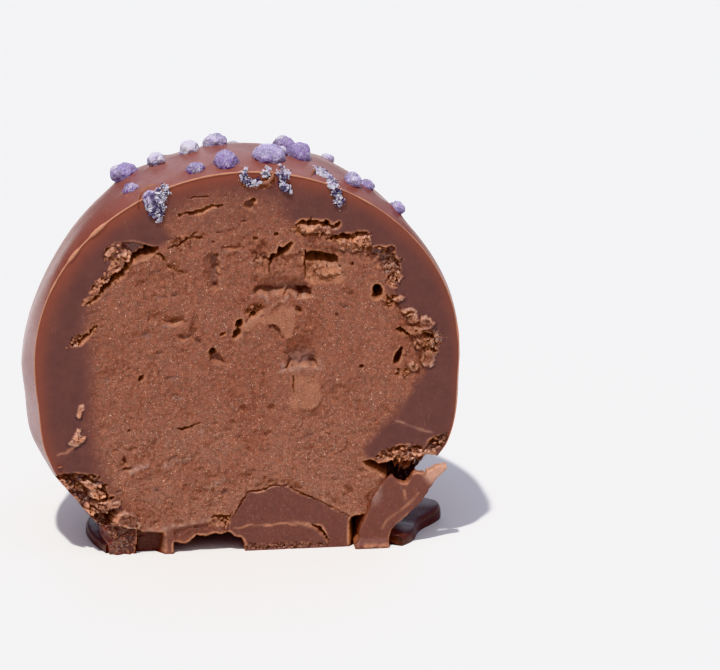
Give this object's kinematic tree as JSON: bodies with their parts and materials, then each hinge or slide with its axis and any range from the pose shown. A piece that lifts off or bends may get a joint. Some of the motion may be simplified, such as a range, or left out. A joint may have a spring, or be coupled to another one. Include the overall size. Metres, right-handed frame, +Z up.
{
  "type": "cut chocolate bonbon",
  "caption": "Domed milk chocolate bonbon cut through to its ganache filling, on a flat foot with a plugged and partly broken base, topped with violet sugar crystals.",
  "frame": {"origin": "on the flat base, on the bonbon's own upright axis, 3.9 mm behind the cut", "axes": "+Z up from the base to the top of the dome, -Y out of the cut face, +X to the right of somebody who looks at the cut face"},
  "size_m": [0.0301, 0.0192, 0.029],
  "materials": {
    "chocolate": "milk chocolate: satin outside, smooth and slightly waxy where it is cut",
    "ganache": "set chocolate ganache: matte, fine-grained, torn and crumbly along the knife's path",
    "violet_sugar": "violet sugar crystals: translucent, glossy facets, frosty white where they are cut"
  },
  "bodies": {
    "root": {"shell": "chocolate", "base_plug": "chocolate", "broken_chip": "chocolate", "filling": "ganache", "crystal_01": "violet_sugar", "crystal_02": "violet_sugar", "crystal_03": "violet_sugar", "crystal_04": "violet_sugar", "crystal_05": "violet_sugar", "crystal_06": "violet_sugar", "crystal_07": "violet_sugar", "crystal_08": "violet_sugar", "crystal_09": "violet_sugar", "crystal_10": "violet_sugar", "crystal_11": "violet_sugar", "crystal_12": "violet_sugar", "crystal_13": "violet_sugar", "crystal_14": "violet_sugar", "crystal_15": "violet_sugar", "crystal_16": "violet_sugar", "crystal_17": "violet_sugar", "crystal_18": "violet_sugar", "crystal_19": "violet_sugar", "crystal_20": "violet_sugar", "crystal_21": "violet_sugar", "crystal_22": "violet_sugar", "crystal_23": "violet_sugar", "crystal_24": "violet_sugar", "crystal_25": "violet_sugar", "crystal_26": "violet_sugar", "crystal_27": "violet_sugar"}
  },
  "joints": []
}
